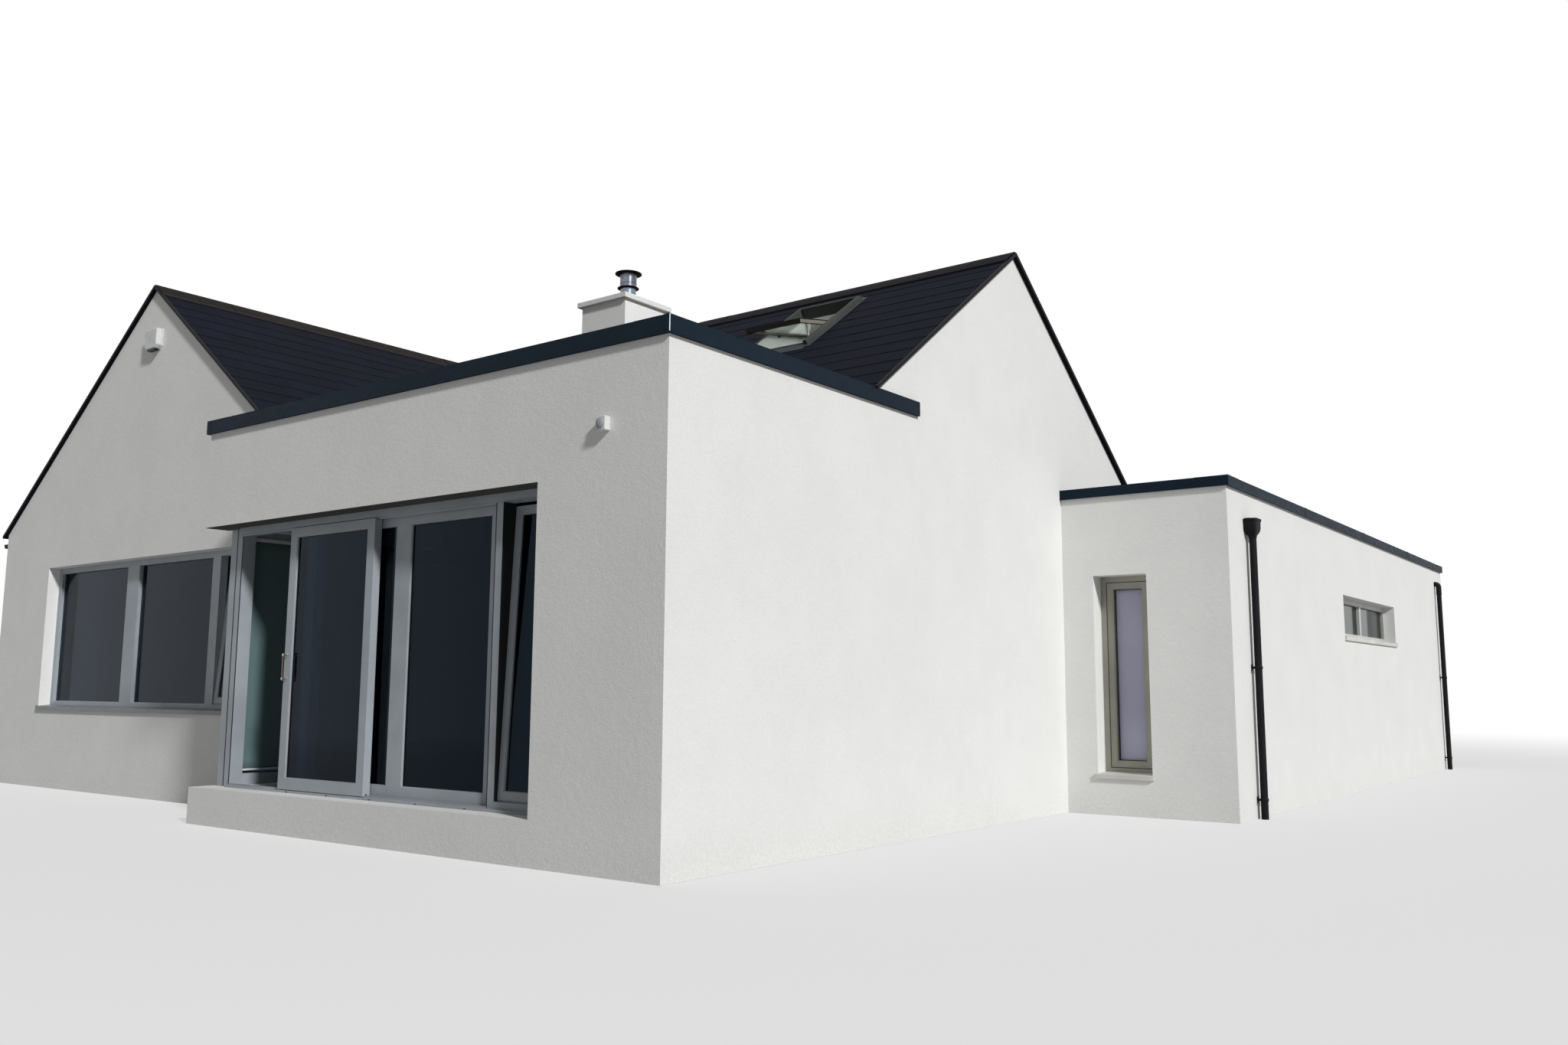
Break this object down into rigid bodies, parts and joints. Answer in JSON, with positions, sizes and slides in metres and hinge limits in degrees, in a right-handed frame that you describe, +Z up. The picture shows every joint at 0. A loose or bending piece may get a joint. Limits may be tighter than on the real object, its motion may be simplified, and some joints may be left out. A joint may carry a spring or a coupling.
{
  "type": "detached house",
  "caption": "Single-storey rendered house: gabled slate wing, flat-roofed front box with a sliding glazed screen, slated main block with a chimney, and a flat rear extension",
  "frame": {"origin": "middle of the bounding box, on the lowest ground line", "axes": "+X to the right along the fronts, +Y from the front to the back, +Z up"},
  "size_m": [14.167, 16.862, 6.307],
  "materials": {
    "render": "fine sand-textured white masonry render",
    "concrete": "trowelled concrete",
    "roof_felt": "mid-grey single-ply roof membrane",
    "capping_metal": "satin blue-grey coated metal",
    "slate": "riven blue-black roof slates",
    "ridge_clay": "dark angular ridge tiles",
    "black_trim": "black plastic trim and rainwater goods",
    "chimney_cap": "cast pale concrete",
    "flue_steel": "brushed stainless steel",
    "roof_window_wood": "pale lacquered timber with grey cladding",
    "frame_grey": "satin mid-grey coated frames",
    "glass": "clear double glazing",
    "sill": "folded coated metal sill",
    "handle_metal": "brushed warm-toned bar handle",
    "white_plastic": "white moulded plastic"
  },
  "bodies": {
    "house": {"floor_front": "concrete", "floor_wing": "concrete", "floor_rear": "concrete", "screen_plinth": "render", "box_pier": "render", "box_header": "render", "box_left_beam": "render", "main_gable_wall": "render", "wing_front_wall": "render", "wing_left_wall": "render", "wing_rear_wall": "render", "ext_front_wall": "render", "ext_right_wall": "render", "ext_back_wall": "render", "ext_left_wall": "render", "box_deck": "roof_felt", "ext_deck": "roof_felt", "box_capping": "capping_metal", "ext_capping": "capping_metal", "main_roof_front": "slate", "main_roof_rear": "slate", "wing_roof_left": "slate", "wing_roof_right": "slate", "main_ridge": "ridge_clay", "wing_ridge": "ridge_clay", "verge_trims": "black_trim", "wing_gutter": "black_trim", "chimney_stack": "render", "chimney_cap": "chimney_cap", "chimney_flue": "flue_steel", "roof_window_frame": "capping_metal", "roof_window_sash": "roof_window_wood", "roof_window_glass": "glass", "wide_window_frame": "frame_grey", "window_frames": "frame_grey", "window_glass": "glass", "window_sills": "sill", "screen_frame": "frame_grey", "screen_fixed_leaves": "frame_grey", "screen_tilt_sash": "frame_grey", "screen_glass": "glass", "front_downpipe": "black_trim", "rear_downpipe": "black_trim", "bell_box": "white_plastic", "movement_sensor": "white_plastic"},
    "leaf": {"sliding_leaf": "frame_grey", "sliding_leaf_glass": "glass", "leaf_handles": "handle_metal"}
  },
  "joints": [
    {"name": "sliding_door", "type": "slide", "parent": "house", "child": "leaf", "axis": [1, 0, 0], "range_m": [-0.815, 0.22]}
  ]
}
